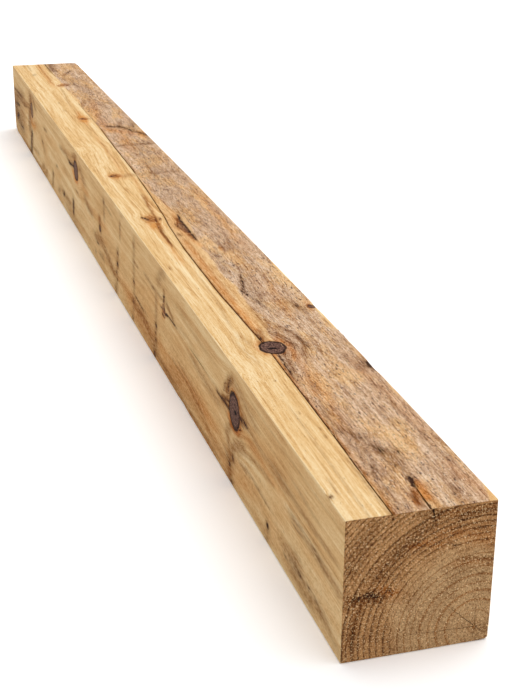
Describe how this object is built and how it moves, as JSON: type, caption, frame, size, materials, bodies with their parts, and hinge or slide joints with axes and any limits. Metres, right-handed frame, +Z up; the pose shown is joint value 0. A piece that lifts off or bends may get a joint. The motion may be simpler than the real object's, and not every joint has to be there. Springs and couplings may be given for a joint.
{
  "type": "rough sawn lumber",
  "caption": "Square rough sawn softwood timber with eased arrises, a long drying check along its upper face, an end split and fine heart checks on its ends.",
  "frame": {"origin": "middle of the face that the timber lies on", "axes": "+Y along the timber from its near end to its far end, +X across it to the right, +Z up"},
  "size_m": [0.16, 2.4, 0.16],
  "materials": {
    "sawn_softwood": "rough sawn, unplaned, partly weathered"
  },
  "bodies": {
    "root": {"timber": "sawn_softwood"}
  },
  "joints": []
}
